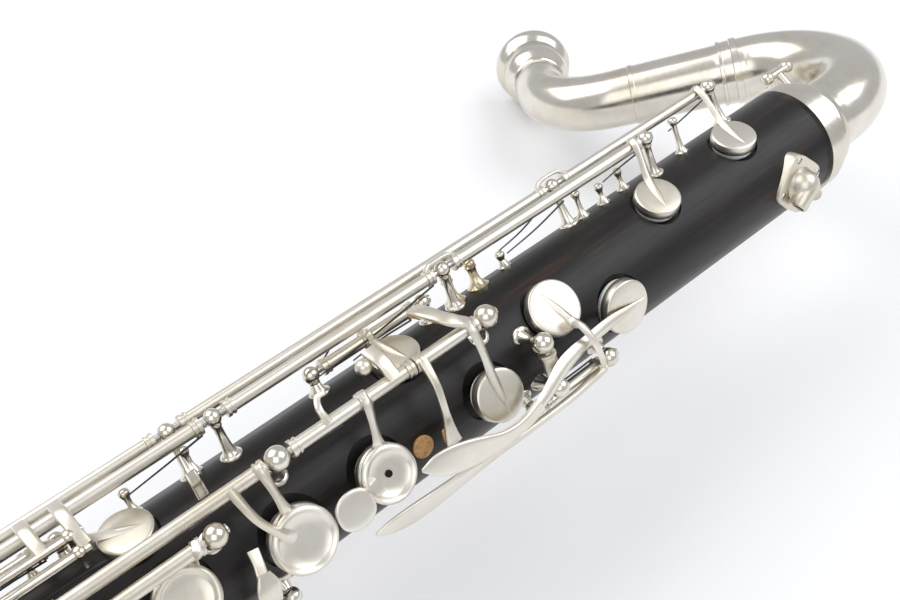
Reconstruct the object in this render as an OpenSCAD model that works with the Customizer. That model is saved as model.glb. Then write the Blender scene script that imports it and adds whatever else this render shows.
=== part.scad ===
// Bass clarinet in two metal and one wooden section, laid down as on a table.
// The instrument's own frame has its bore along X, the top of the wood at x = 0
// and the finger side facing +Z. lay_down() turns that frame onto the table.

/* [Body] */
// Outside diameter of the wooden body
body_d = 36; // [34:0.5:38]
// Diameter of the bore
bore_d = 23.6; // [22:0.1:24.5]
// Length of the wooden body
body_len = 700; // [690:5:740]

/* [Neck] */
// Straight rise above the ring before the first bend
neck_rise = 25; // [18:1:32]
// Centreline radius of the first bend
neck_bend_r = 33; // [30:1:38]
// Angle of the first bend
neck_bend = 136; // [120:1:145]
// Straight stretch that the sleeve slides on
neck_down = 50; // [44:1:60]
// Centreline radius of the second bend
neck_back_r = 30.6; // [28:0.2:36]
// Angle of the second bend, turning the other way
neck_back = 81; // [70:1:90]
// Turn of the neck about the bore, from the finger side
neck_turn = -168; // [-180:1:-150]

/* [Bell] */
// Radius of the bell rim
bell_r = 70; // [64:1:75]
// Length of the flare
bell_len = 165; // [150:1:180]
// Centreline radius of the bow
bow_r = 48; // [44:1:54]
// Angle of the bow
bow_turn = 165; // [155:1:172]
// Turn of the bell about the bore, from the finger side
bell_twist = 16; // [0:1:30]

/* [Keys] */
// Radius of a trill or side key's pad cup
side_cup_r = 6.9; // [6.5:0.1:7.5]
// Radius of an ordinary pad cup
cup_r = 7.9; // [7.5:0.1:8.5]
// Radius of a low-note pad cup
low_cup_r = 12; // [11:0.1:13]
// Radius of the steel hinge rods
rod_r = 0.9; // [0.7:0.1:1.1]
// Radius of the key tubes
tube_r = 1.8; // [1.7:0.1:2.1]
// Angle by which an open-standing key lifts its pad off the seat
open_angle = 8; // [6:0.5:9]

/* [Rest] */
// Turn about the bore that lays the instrument on the table
roll = 58.83; // [0:0.01:90]
// Lift of the top end over the bell end
tilt = 3.14; // [0:0.01:8]
// Height of the bore axis at the top of the wood
axis_h = 66.92; // [20:0.01:120]
// Distance along X from the middle of the part to the top of the wood
top_x = 357.2; // [0:0.1:500]
// Distance along Y from the middle of the part to the bore axis
axis_y = 19; // [-100:0.1:100]

/* [Hidden] */
$fn = 48;
body_r = body_d / 2;
bore_r = bore_d / 2;
fit = 0.05;
pad_t = 3.2;
cup_lap = 1.1;
hole_lap = 2.6;
arm_r = 1.55;
ball_lap = 0.15;
tube_lap = 0.5;
tube_step = 0.1;
closed_r = 15.8;
low_seat_r = 20;

// Hinge lines, as [angle from the finger side, radius]
outer_line = [-94, 30.4];
inner_line = [-82, 29.5];
stack_line = [-39, 29];
mid_line = [-26, 28.7];
side_line = [-88, 23.4];
throat_line = [38, 23.5];
back_line = [150, 24.5];
thumb_line = [138, 25];
sliver_line = [48, 22.6];
low_line = [-40, 33];

// Places of the pads, as [x, angle from the finger side, radius of the cup]
trill_high_pad = [-30.5, -55.8, side_cup_r];
trill_low_pad = [-67.8, -48.4, side_cup_r];
side_high_pad = [-162, -64.5, side_cup_r];
side_low_pad = [-241, -66, side_cup_r];
throat_g_pad = [-97, 12, cup_r];
throat_a_pad = [-118.3, -22.3, cup_r];
upper_vent_pad = [-146.4, 5, cup_r - 0.6];
first_pad = [-183.5, 2.5, cup_r - 0.3];
second_pad = [-209.4, 5.4, cup_r + 0.6];
third_pad = [-238.7, -7.6, cup_r];
register_pad = [-58, 180, side_cup_r];
thumb_pad = [-176, 172, cup_r];
fourth_pad = [-398, 3, cup_r];
fifth_pad = [-436, 3, cup_r];
sixth_pad = [-474, 3, cup_r];
low_pads = [for (x = [-520, -563, -612, -662]) [x, 4, low_cup_r]];

small_pads = [trill_high_pad, trill_low_pad, side_high_pad, side_low_pad, throat_g_pad,
              throat_a_pad, upper_vent_pad, first_pad, second_pad, third_pad,
              register_pad, thumb_pad, fourth_pad, fifth_pad, sixth_pad];

// Point at x along the bore, at an angle from the finger side and a radius
function pt(x, angle, r) = [x, -r * sin(angle), r * cos(angle)];

// The whole instrument, turned and lifted so that it lies on the table
module lay_down() {
    translate([top_x, axis_y, axis_h])
        rotate([0, -tilt, 0])
            rotate([roll, 0, 0])
                children();
}

// Children stand on the body at x, with their Z axis pointing out of it
module on_body(x, angle = 0, r = 0) {
    rotate([angle, 0, 0])
        translate([x, 0, r])
            children();
}

// Round bar from point a to point b
module bar(a, b, r1, r2) {
    way = b - a;
    reach = norm(way);
    translate(a)
        rotate([0, acos(way.z / reach), atan2(way.y, way.x)])
            cylinder(h = reach, r1 = r1, r2 = r2, $fn = 24);
}

// Bar that follows a list of points, with a ball at each turn
module bent_bar(points, r1, r2) {
    last = len(points) - 1;
    function thickness(i) = r1 + (r2 - r1) * i / last;
    for (i = [0:last - 1])
        bar(points[i], points[i + 1], thickness(i), thickness(i + 1));
    for (i = [1:last])
        translate(points[i]) sphere(r = thickness(i) + ball_lap, $fn = 24);
}

// Children turned about a hinge line, as a key turns on its rod
module swung(line, angle) {
    rotate([line[0], 0, 0])
        translate([0, 0, line[1]])
            rotate([angle, 0, 0])
                translate([0, 0, -line[1]])
                    rotate([-line[0], 0, 0])
                        children();
}

// Cylinder along the bore direction, from x0 up to x1, on a hinge line
module along(x0, x1, line, r) {
    on_body(x0, line[0], line[1])
        rotate([0, 90, 0])
            cylinder(h = x1 - x0, r = r);
}

// Key: a tube on its hinge rod, and whatever is brazed to it
module key_on(x0, x1, line, r = tube_r) {
    difference() {
        union() {
            along(x0, x1, line, r);
            along(x0, x0 + 2.4, line, r + 0.5);
            along(x1 - 2.4, x1, line, r + 0.5);
            children();
        }
        along(x0 - 30, x1 + 30, line, rod_r + fit);
    }
}

// Pad cup with its recess facing the body, standing at the pad's foot
module cup(place, seat) {
    r = place[2];
    on_body(place[0], place[1], seat)
        rotate_extrude()
            polygon([[0, pad_t], [r - 0.7, pad_t], [r - 0.7, pad_t - cup_lap],
                     [r, pad_t - cup_lap], [r, pad_t + 1.2], [r - 0.8, pad_t + 1.8],
                     [0, pad_t + 2.2]]);
}

// Raised edge and dished top that make a cup a finger plate
module plate(place, seat) {
    r = place[2];
    on_body(place[0], place[1], seat + pad_t + 1.2)
        rotate_extrude()
            polygon([[0, 0], [r - 0.5, 0], [r, 1], [r - 0.6, 2.4], [r - 1.4, 2.4],
                     [r - 2.2, 1.6], [0, 1]]);
}

// Felt pad in its cup
module pad(place, seat) {
    color("ghostwhite")
        on_body(place[0], place[1], seat)
            cylinder(h = pad_t, r = place[2] - 0.75);
}

// Felt pad of a key that stands open
module open_pad(place, line, seat) {
    swung(line, -open_angle) pad(place, seat);
}

// Arm from a hinge line at x to the top of a cup, with the cup
module cup_arm(x, line, place, seat, knee_r) {
    cup(place, seat);
    bent_bar([pt(x, line[0], line[1]),
              pt((x + place[0]) / 2, (line[0] + 2 * place[1]) / 3, knee_r),
              pt(place[0], place[1], seat + pad_t + 1.8)], arm_r, 0.9);
}

// Leaf-shaped touch, lying flat at x on the given radius
module leaf(x, angle, r, length, width, turn) {
    arc_r = (length * length + width * width) / (4 * width);
    on_body(x, angle, r)
        rotate([0, 0, turn])
            linear_extrude(1.6)
                intersection() {
                    translate([0, arc_r - width / 2]) circle(r = arc_r, $fn = 96);
                    translate([0, width / 2 - arc_r]) circle(r = arc_r, $fn = 96);
                }
}

// Oval touch, two round ends and the flat between them
module oval(x, angle, r, length, width, turn) {
    on_body(x, angle, r)
        rotate([0, 0, turn])
            linear_extrude(1.6)
                union() {
                    for (s = [-1, 1])
                        translate([s * (length - width) / 2, 0]) circle(d = width);
                    square([length - width, width], center = true);
                }
}

// Turned post with a ball head on a hinge line, drilled for its rod
module post(x, line, ball = 2.3) {
    difference() {
        union() {
            on_body(x, line[0], body_r - 0.9) cylinder(h = 1.5, r = 3);
            on_body(x, line[0], body_r - 3)
                cylinder(h = line[1] - body_r + 3, r1 = 1.8, r2 = 1.3);
            on_body(x, line[0], line[1]) sphere(r = ball);
        }
        along(x - 6, x + 6, line, rod_r);
    }
}

// ---- Tubes and shells ----

module wood_body() color("#231c1b") {
    difference() {
        union() {
            on_body(-body_len) rotate([0, 90, 0]) cylinder(h = body_len, r = body_r, $fn = 96);
            for (p = low_pads)
                on_body(p[0], p[1], 8) cylinder(h = low_seat_r - 8.2, r = p[2] - 0.6);
        }
        on_body(-body_len - 1)
            rotate([0, 90, 0]) cylinder(h = body_len + 2, r = bore_r, $fn = 96);
        for (p = small_pads) {
            on_body(p[0], p[1], closed_r - 0.2) cylinder(h = 12, r = p[2] + 0.7);
            on_body(p[0], p[1], bore_r - 4) cylinder(h = 12, r = p[2] - hole_lap);
        }
        for (p = low_pads)
            on_body(p[0], p[1], bore_r - 4) cylinder(h = 16, r = p[2] - hole_lap);
    }
}

// Ring of stepped outline round the end of the wood, from x0 outwards
module end_ring(x0) {
    on_body(x0)
        rotate([0, 90, 0])
            rotate_extrude($fn = 96)
                polygon([[bore_r, 0], [body_r + 1, 0], [body_r + 1, 5.4],
                         [body_r + 0.4, 5.9], [body_r + 0.4, 7.2], [body_r - 0.8, 8.2],
                         [body_r - 0.8, 9], [bore_r, 9]]);
}

module top_ring() color("#cfcac0") end_ring(0);

module bottom_ring() color("#cfcac0") translate([-body_len, 0, 0]) mirror([1, 0, 0]) end_ring(0);

// Neck pieces are drawn in a plane: X along the bore, Z away from the body
module neck_plane() rotate([neck_turn, 0, 0]) children();

neck_r = 11.8;
neck_wall = 1;
thick_wall = neck_wall + 2 * tube_step;
neck_start = 9;
tip_r = 10.2;
bend_end = [neck_rise + neck_bend_r * sin(neck_bend), 0,
            neck_bend_r * (1 - cos(neck_bend))];
down_way = [cos(neck_bend), 0, sin(neck_bend)];
down_end = bend_end + neck_down * down_way;
last_angle = neck_bend - neck_back;
back_end = down_end + neck_back_r
    * [sin(neck_bend) - sin(last_angle), 0, cos(last_angle) - cos(neck_bend)];
last_way = [cos(last_angle), 0, sin(last_angle)];
last_len = 12;

// Children run along the neck from a point in the direction of an angle
module neck_from(start, angle) translate(start) rotate([0, 90 - angle, 0]) children();

module hollow(h, r1, r2 = undef, wall = neck_wall) {
    top = is_undef(r2) ? r1 : r2;
    difference() {
        cylinder(h = h, r1 = r1, r2 = top);
        translate([0, 0, -0.01]) cylinder(h = h + 0.02, r1 = r1 - wall, r2 = top - wall);
    }
}

// Bend of a round tube in the neck plane, about a centre at the given angle
module tube_bend(bend_r, angle, r, wall) {
    rotate_extrude(angle = angle, $fn = 96)
        translate([bend_r, 0])
            difference() {
                circle(r = r);
                circle(r = r - wall);
            }
}

module neck_lower() color("#cdc7bb") neck_plane() {
    neck_from([neck_start, 0, 0], 0)
        hollow(neck_rise - neck_start + tube_lap, neck_r + tube_step, undef, thick_wall);
    neck_from([neck_start, 0, 0], 0)
        difference() {
            cylinder(h = 5, r = body_r - 2);
            translate([0, 0, -1]) cylinder(h = 7, r = neck_r - 0.5);
        }
    translate([neck_rise, 0, neck_bend_r])
        rotate([90, 0, 0]) rotate([0, 0, -90])
            tube_bend(neck_bend_r, neck_bend, neck_r, neck_wall);
    neck_from(bend_end - tube_lap * down_way, neck_bend)
        hollow(9 + tube_lap, neck_r + tube_step, undef, thick_wall);
}

module neck_sleeve() color("#cdc7bb") neck_plane() {
    neck_from(bend_end + 9 * down_way, neck_bend) {
        hollow(neck_down - 18, neck_r - 0.5);
        hollow(3, neck_r + 0.9, neck_r + 0.9, 2.4);
        translate([0, 0, 6]) hollow(1.6, neck_r + 0.2, neck_r + 0.2, 1.6);
    }
}

module neck_upper() color("#cdc7bb") neck_plane() {
    neck_from(down_end - 9 * down_way, neck_bend)
        hollow(9 + tube_lap, tip_r + 0.6, tip_r + tube_step, thick_wall);
    neck_from(down_end - 9 * down_way, neck_bend) hollow(2, neck_r + 0.2, neck_r + 0.2, 2);
    translate(down_end + neck_back_r * [sin(neck_bend), 0, -cos(neck_bend)])
        rotate([90, 0, 0]) rotate([0, 0, 90 + last_angle])
            tube_bend(neck_back_r, neck_back, tip_r, neck_wall);
    neck_from(back_end - tube_lap * last_way, last_angle)
        hollow(last_len + tube_lap, tip_r + tube_step, undef, thick_wall);
}

socket_len = 27;
socket_r = 12.2;
module mouthpiece_socket() color("#cdc7bb") neck_plane()
    neck_from(back_end + last_len * last_way, last_angle)
        rotate_extrude($fn = 96)
            polygon([[tip_r - 1, 0], [tip_r + 0.4, 0], [socket_r + 1.2, 6],
                     [socket_r + 1.2, socket_len - 7], [socket_r + 3.4, socket_len - 5],
                     [socket_r + 3.4, socket_len], [socket_r, socket_len],
                     [socket_r, 7], [tip_r - 1, 5]]);

module neck_screw() color("#c9bfae") {
    on_body(18, -120, body_r - 4.6) {
        cylinder(h = 7, r = 1.6);
        translate([0, 0, 8]) rotate([0, 90, 0]) translate([0, 0, -5]) cylinder(h = 10, r = 1.4);
        for (s = [-5, 5])
            translate([s, 0, 8]) sphere(r = 2.3);
    }
}

bow_r_out = 16.2;
bell_start = -body_len - 9;
bell_wall = 1.2;
steps = 16;
bow_end = [bell_start - 12 - bow_r * sin(bow_turn), 0, bow_r * (1 - cos(bow_turn))];
module bell_bow() color("#cfcac0") rotate([bell_twist, 0, 0]) {
    translate([bell_start, 0, 0]) rotate([0, -90, 0])
        hollow(12 + tube_lap, body_r - 0.5, bow_r_out + tube_step, 3.4);
    translate([bell_start - 12, 0, bow_r]) rotate([90, 0, 0]) rotate([0, 0, -90 - bow_turn])
        tube_bend(bow_r, bow_turn, bow_r_out, bell_wall);
}
module bell_flare() color("#cfcac0") rotate([bell_twist, 0, 0])
    translate(bow_end) rotate([0, bow_turn - 90, 0])
        rotate_extrude($fn = 96)
            polygon(concat(
                [for (i = [0:steps]) [flare(i / steps), bell_len * i / steps]],
                [[bell_r + 1.6, bell_len + 0.6], [bell_r + 1.6, bell_len - 1.6]],
                [for (i = [steps - 1:-1:0])
                    [flare(i / steps) + bell_wall, (bell_len - 0.3) * i / steps]]));
// Inside radius of the flare at a fraction of its length
function flare(t) = bow_r_out - bell_wall + (bell_r - bow_r_out + bell_wall)
    * (0.3 * t + 0.7 * pow(t, 4));

// ---- Fittings on the body ----

lyre_x = -17.4;
lyre_angle = 19.5;
lyre_turn = 35;
lyre_h = 4.6;
lyre_bore_r = 1.9;
module lyre_plate() color("#c9bfae") on_body(lyre_x, lyre_angle, body_r) {
    difference() {
        union() {
            translate([0, 0, -2.4]) linear_extrude(3.2) rotate([0, 0, 45]) lyre_outline();
            cylinder(h = 3.4, r = 5.4);
            translate([0, 0, lyre_h]) sphere(r = 4.6);
            lyre_across() cylinder(h = 13.6, r = 3.1, center = true);
        }
        lyre_across() cylinder(h = 16, r = lyre_bore_r, center = true);
        translate([0, 0, lyre_h]) rotate([0, 0, lyre_turn]) rotate([90, 0, 0])
            cylinder(h = 6, r = 1.1);
        lyre_holes(0.9, 5);
    }
}
// Children lie along the hole that takes the lyre's stem
module lyre_across()
    translate([0, 0, lyre_h]) rotate([0, 0, lyre_turn]) rotate([0, 90, 0]) children();
// Screws or their holes, one at each corner of the plate
module lyre_holes(r, h)
    for (a = [0:90:270])
        rotate([0, 0, a]) translate([7.6, 0, -1.9]) cylinder(h = h, r = r);
module lyre_outline() {
    square(12.6, center = true);
    for (x = [-1, 1], y = [-1, 1])
        translate([x * 5.1, y * 5.1]) circle(r = 2.5);
}
module lyre_screws() color("#b7ae9e") on_body(lyre_x, lyre_angle, body_r)
    lyre_holes(0.85, 3);

module side_posts() color("#cdc7bb") {
    for (x = [-21.2, -90, -220, -330, -372])
        post(x, outer_line);
    for (x = [-57, -137, -210, -310])
        post(x, inner_line);
    for (x = [-145, -182, -254, -300])
        post(x, side_line);
}

module stack_posts() color("#cdc7bb") {
    for (x = [-140.4, -205.6, -268])
        post(x, stack_line, 3.2);
    for (x = [-227, -264])
        post(x, mid_line, 3);
    for (x = [-386, -424, -462, -497])
        post(x, stack_line, 3.2);
}

g_pivot_x = -130;
g_pivot_r = 25.4;
module throat_posts() color("#cdc7bb") {
    for (x = [-108, -136])
        post(x, throat_line, 2.8);
    for (x = [-216.5, -234])
        post(x, sliver_line, 2.4);
    for (s = [-1, 1])
        difference() {
            union() {
                on_body(g_pivot_x, 6) translate([0, s * 7, body_r - 4])
                    cylinder(h = g_pivot_r - body_r + 4, r1 = 2.1, r2 = 1.7);
                on_body(g_pivot_x, 6) translate([0, s * 7, g_pivot_r]) sphere(r = 2.9);
            }
            on_body(g_pivot_x, 6, g_pivot_r) rotate([90, 0, 0])
                translate([0, 0, -12]) cylinder(h = 24, r = rod_r);
        }
}

module back_posts() color("#cdc7bb") {
    for (x = [-66, -160])
        post(x, back_line);
    for (x = [-166, -192])
        post(x, thumb_line, 2.6);
}

module low_posts() color("#cdc7bb")
    for (x = [-505, -541, -588, -637, -682])
        post(x, low_line, 3.2);

module hinge_rods() color("#9a9a9c") {
    along(-375, -19, outer_line, rod_r);
    along(-313, -54.4, inner_line, rod_r);
    along(-184, -143, side_line, rod_r);
    along(-302, -251.6, side_line, rod_r);
    along(-270.8, -137.6, stack_line, rod_r);
    along(-266.6, -224.4, mid_line, rod_r);
    along(-138.4, -105.6, throat_line, rod_r);
    along(-235.8, -214.6, sliver_line, rod_r);
    along(-162, -63.6, back_line, rod_r);
    along(-194, -164, thumb_line, rod_r);
    along(-499.4, -383.6, stack_line, rod_r);
    along(-684.4, -502.6, low_line, rod_r);
    on_body(g_pivot_x, 6, g_pivot_r) rotate([90, 0, 0])
        translate([0, 0, -9.6]) cylinder(h = 19.2, r = rod_r);
}

module thumb_rest() color("#cdc7bb") on_body(-350, 176, body_r) {
    translate([0, 0, -0.6]) linear_extrude(2.2) square([30, 11], center = true);
    translate([-8, 0, 1]) rotate([0, 22, 0]) translate([0, 0, 8])
        cube([3, 15, 18], center = true);
}

module strap_ring() color("#cdc7bb") on_body(-300, 178, body_r) {
    translate([0, 0, -0.6]) cylinder(h = 2.6, r = 6);
    translate([0, 0, 6.6]) rotate([90, 0, 0])
        rotate_extrude() translate([4.8, 0]) circle(r = 1.3);
}

peg_r = 4;
module peg_clamp() color("#cdc7bb") on_body(-668, 180, body_r) {
    difference() {
        union() {
            translate([0, 0, -0.6]) linear_extrude(2.6) square([30, 16], center = true);
            translate([0, 0, 5]) cube([24, 10, 8], center = true);
            translate([-12, 0, 10]) rotate([0, 90, 0]) cylinder(h = 24, r = 7);
            translate([0, 0, 10]) rotate([-90, 0, 0]) cylinder(h = 13, r = 2);
            translate([0, 15, 10]) cube([9, 5, 2.4], center = true);
        }
        translate([-14, 0, 10]) rotate([0, 90, 0]) cylinder(h = 28, r = peg_r);
    }
}

// ---- Side and trill keys ----

module side_touch(x, line, length) {
    oval(x - length / 2, line[0] + 3, line[1] + 2, length, 8, 0);
    bent_bar([pt(x, line[0], line[1]), pt(x - 3, line[0] + 3, line[1] + 2.6)], 1.6, 1.4);
}

module trill_key_high() color("#cdc7bb") {
    key_on(-86, -24.6, outer_line, tube_r - 0.2)
        cup_arm(-27, outer_line, trill_high_pad, closed_r, 27.7);
    key_on(-216.4, -93.4, outer_line, tube_r - 0.2);
    key_on(-326, -223.4, outer_line, tube_r - 0.2);
    key_on(-368.6, -333.6, outer_line, tube_r - 0.2)
        oval(-350, -98, 33.2, 30, 9, 0);
    trill_bridge([-93.4, -86.4], outer_line);
    trill_bridge([-223.4, -216.4], outer_line);
    trill_bridge([-333.6, -326.4], outer_line);
}

// Small bow that carries a key past one of its posts
module trill_bridge(ends, line) {
    bow_out = line[1] + 3.7;
    bent_bar([pt(ends[0] - 1.4, line[0], line[1] + 1.75), pt(ends[0] - 0.4, line[0], bow_out),
              pt(ends[1] + 0.4, line[0], bow_out), pt(ends[1] + 1.4, line[0], line[1] + 1.75)],
             0.7, 0.7);
}

module trill_key_low() color("#cdc7bb") {
    key_on(-133.6, -60.4, inner_line)
        cup_arm(-62.5, inner_line, trill_low_pad, closed_r, 26);
    key_on(-206.6, -140.4, inner_line);
    key_on(-306.4, -213.4, inner_line)
        oval(-296, -77, 32.4, 26, 9, 0);
    trill_bridge([-140.4, -133.6], inner_line);
    trill_bridge([-213.4, -206.6], inner_line);
}
module side_key_high() color("#cdc7bb")
    key_on(-178.8, -148.2, side_line) {
        cup_arm(-164, side_line, side_high_pad, closed_r, 24.4);
    }
module side_key_low() color("#cdc7bb")
    key_on(-296.8, -257.4, side_line) {
        cup(side_low_pad, closed_r);
        bent_bar([pt(-259.2, side_line[0], side_line[1]), pt(-258.6, -75, 24.4),
                  pt(-248, -69, 23),
                  pt(side_low_pad[0], side_low_pad[1], closed_r + pad_t + 1.8)], 1.5, 1);
        side_touch(-286, [-84, 22], 10);
    }

// ---- Throat keys ----

module throat_g_key() color("#cdc7bb")
    difference() {
        union() {
            on_body(g_pivot_x, 6, g_pivot_r) rotate([90, 0, 0])
                translate([0, 0, -3.8]) cylinder(h = 7.6, r = 2.6);
            bent_bar([pt(g_pivot_x, 6, g_pivot_r), pt(-114, 8, 23.8),
                      pt(throat_g_pad[0], throat_g_pad[1], closed_r + pad_t + 1.8)], 1.9, 1);
            cup(throat_g_pad, closed_r);
            bent_bar([pt(g_pivot_x, 6, g_pivot_r), pt(-138, 14, 28.6), pt(-146, 16.5, 30),
                      pt(-153, 16, 30.6)], 1.9, 1.6);
            leaf(-163, 11, 30.4, 26, 8.6, -14);
        }
        on_body(g_pivot_x, 6, g_pivot_r) rotate([90, 0, 0])
            translate([0, 0, -6]) cylinder(h = 12, r = rod_r + fit);
    }
module throat_a_key() color("#cdc7bb")
    key_on(-133, -111.2, throat_line) {
        cup(throat_a_pad, closed_r);
        bent_bar([pt(-112.6, throat_line[0], throat_line[1]), pt(-112.8, 27, 29.6),
                  pt(-114.4, 2, 28.6),
                  pt(throat_a_pad[0], throat_a_pad[1], closed_r + pad_t + 1.8)], 1.6, 0.9);
        bent_bar([pt(-131.4, throat_line[0], throat_line[1]), pt(-133, 40, 29.4),
                  pt(-162, 32, 29.4)], 1.7, 1.4);
        leaf(-177.5, 26, 28.4, 32, 8, -8);
    }

// ---- Upper stack ----

// Open-standing key: drawn closed, then swung off its seat
module stands_open(line) color("#cdc7bb") swung(line, -open_angle) children();

module upper_vent_key()
    stands_open(stack_line) key_on(-164.4, -143.8, stack_line) {
        cup_arm(-146.5, stack_line, upper_vent_pad, closed_r, 28);
        bent_bar([pt(-146.5, stack_line[0], stack_line[1]), pt(-151, -49, 33.5),
                  pt(-158, -56, 33)], 1.5, 1.3);
        bent_bar([pt(-162.6, stack_line[0], stack_line[1]), pt(-163.4, -18, 27.6),
                  pt(-164.6, 6, 20.6)], 1.5, 1.2);
    }
module first_plate_key()
    stands_open(stack_line) key_on(-202, -164.8, stack_line) {
        cup_arm(-180.4, stack_line, first_pad, closed_r, 28);
        plate(first_pad, closed_r);
        on_body(-194.8, 7, closed_r + pad_t + 1.4) cylinder(h = 1.6, r = 5.2);
        bar(pt(-186, 4, closed_r + pad_t + 1.6), pt(-194, 7, closed_r + pad_t + 2), 1.4, 1.2);
        bent_bar([pt(-171, stack_line[0], stack_line[1]), pt(-172, -47, 34),
                  pt(-172.6, -52, 34)], 1.7, 1.9);
        bent_bar([pt(-191, stack_line[0], stack_line[1]), pt(-190.6, -45.4, 33.8),
                  pt(-190, -49.4, 33.2)], 1.3, 1.1);
    }
module second_plate_key()
    stands_open(stack_line) key_on(-264.2, -209.2, stack_line) {
        cup_arm(-211.3, stack_line, second_pad, closed_r, 28.6);
        plate(second_pad, closed_r);
        bent_bar([pt(-219, stack_line[0], stack_line[1]), pt(-215.4, -16, 27),
                  pt(-211, 0, closed_r + pad_t + 1.2)], 1.4, 1.2);
    }
module third_plate_key()
    stands_open(mid_line) key_on(-260.6, -230.4, mid_line) {
        cup_arm(-232, mid_line, third_pad, closed_r, 27);
        plate(third_pad, closed_r);
    }
module sliver_key() color("#cdc7bb")
    key_on(-231, -219.4, sliver_line, 1.9) {
        bent_bar([pt(-225, sliver_line[0], sliver_line[1]), pt(-224, 32, 26),
                  pt(-223, 16, 26.6), pt(-223.5, 2, 25.4)], 1.3, 1);
        oval(-223.4, 15, 26.2, 10.5, 7, 75);
    }

// ---- Back of the body ----

module register_key() color("#cdc7bb")
    key_on(-156.6, -69.4, back_line) {
        bent_bar([pt(-71, back_line[0], back_line[1]), pt(-64, 178, 24),
                  pt(register_pad[0], register_pad[1], closed_r + pad_t + 1.8)], 1.6, 1);
        cup(register_pad, closed_r);
        bent_bar([pt(-152, back_line[0], back_line[1]), pt(-153, 138, 27)], 1.6, 1.4);
        oval(-150, 133, 27, 16, 9, 0);
    }
module thumb_key()
    stands_open(thumb_line) key_on(-188.8, -169.2, thumb_line) {
        cup_arm(-177, thumb_line, thumb_pad, closed_r, 25.6);
        plate(thumb_pad, closed_r);
    }

// ---- Lower stack ----

module finger_key(x0, x1, place)
    stands_open(stack_line) key_on(x0, x1, stack_line) {
        cup_arm(x1 - 3, stack_line, place, closed_r, 28);
        plate(place, closed_r);
    }
module fourth_plate_key() finger_key(-420.4, -389.6, fourth_pad);
module fifth_plate_key() finger_key(-458.4, -427.6, fifth_pad);
module sixth_plate_key() finger_key(-493.4, -465.6, sixth_pad);

// Low-note key: big cup on a long arm, with its touch beyond the hinge
module low_key(x0, x1, place, touch_x)
    key_on(x0, x1, low_line) {
        cup_arm((x0 + x1) / 2, low_line, place, low_seat_r, 33);
        bent_bar([pt(touch_x, low_line[0], low_line[1]), pt(touch_x, -56, 35)], 1.6, 1.4);
        oval(touch_x, -60, 34.6, 18, 9, 0);
    }
module low_g_key() color("#cdc7bb") low_key(-537.4, -508.6, low_pads[0], -516);
module low_f_key() stands_open(low_line) low_key(-584.4, -544.6, low_pads[1], -560);
module low_e_key() stands_open(low_line) low_key(-633.4, -591.6, low_pads[2], -607);
module low_e_flat_key() stands_open(low_line) low_key(-678.4, -640.6, low_pads[3], -655);

lay_down() wood_body();
lay_down() top_ring();
lay_down() bottom_ring();
lay_down() neck_lower();
lay_down() neck_sleeve();
lay_down() neck_upper();
lay_down() mouthpiece_socket();
lay_down() neck_screw();
lay_down() bell_bow();
lay_down() bell_flare();
lay_down() lyre_plate();
lay_down() lyre_screws();
lay_down() side_posts();
lay_down() stack_posts();
lay_down() throat_posts();
lay_down() back_posts();
lay_down() low_posts();
lay_down() hinge_rods();
lay_down() thumb_rest();
lay_down() strap_ring();
lay_down() peg_clamp();
lay_down() trill_key_high();
lay_down() trill_key_low();
lay_down() side_key_high();
lay_down() side_key_low();
lay_down() throat_g_key();
lay_down() throat_a_key();
lay_down() upper_vent_key();
lay_down() first_plate_key();
lay_down() second_plate_key();
lay_down() third_plate_key();
lay_down() sliver_key();
lay_down() register_key();
lay_down() thumb_key();
lay_down() fourth_plate_key();
lay_down() fifth_plate_key();
lay_down() sixth_plate_key();
lay_down() low_g_key();
lay_down() low_f_key();
lay_down() low_e_key();
lay_down() low_e_flat_key();
lay_down() pad(trill_high_pad, closed_r);
lay_down() pad(trill_low_pad, closed_r);
lay_down() pad(side_high_pad, closed_r);
lay_down() pad(side_low_pad, closed_r);
lay_down() pad(throat_g_pad, closed_r);
lay_down() pad(throat_a_pad, closed_r);
lay_down() open_pad(upper_vent_pad, stack_line, closed_r);
lay_down() open_pad(first_pad, stack_line, closed_r);
lay_down() open_pad(second_pad, stack_line, closed_r);
lay_down() open_pad(third_pad, mid_line, closed_r);
lay_down() pad(register_pad, closed_r);
lay_down() open_pad(thumb_pad, thumb_line, closed_r);
lay_down() open_pad(fourth_pad, stack_line, closed_r);
lay_down() open_pad(fifth_pad, stack_line, closed_r);
lay_down() open_pad(sixth_pad, stack_line, closed_r);
lay_down() pad(low_pads[0], low_seat_r);  // low_g_pad
lay_down() open_pad(low_pads[1], low_line, low_seat_r);  // low_f_pad
lay_down() open_pad(low_pads[2], low_line, low_seat_r);  // low_e_pad
lay_down() open_pad(low_pads[3], low_line, low_seat_r);  // low_e_flat_pad
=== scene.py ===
# %% [markdown]
# A bass clarinet lies on a white table. The CAD model gives every node its place, and
# this lesson gives it its looks. `NODES` holds the CAD nodes from model.glb, and `attach` hangs new
# pieces on their bodies.

# %% Load the frame
import math

import bmesh
import bpy
import numpy as np
from mathutils import Matrix, Vector


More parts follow.
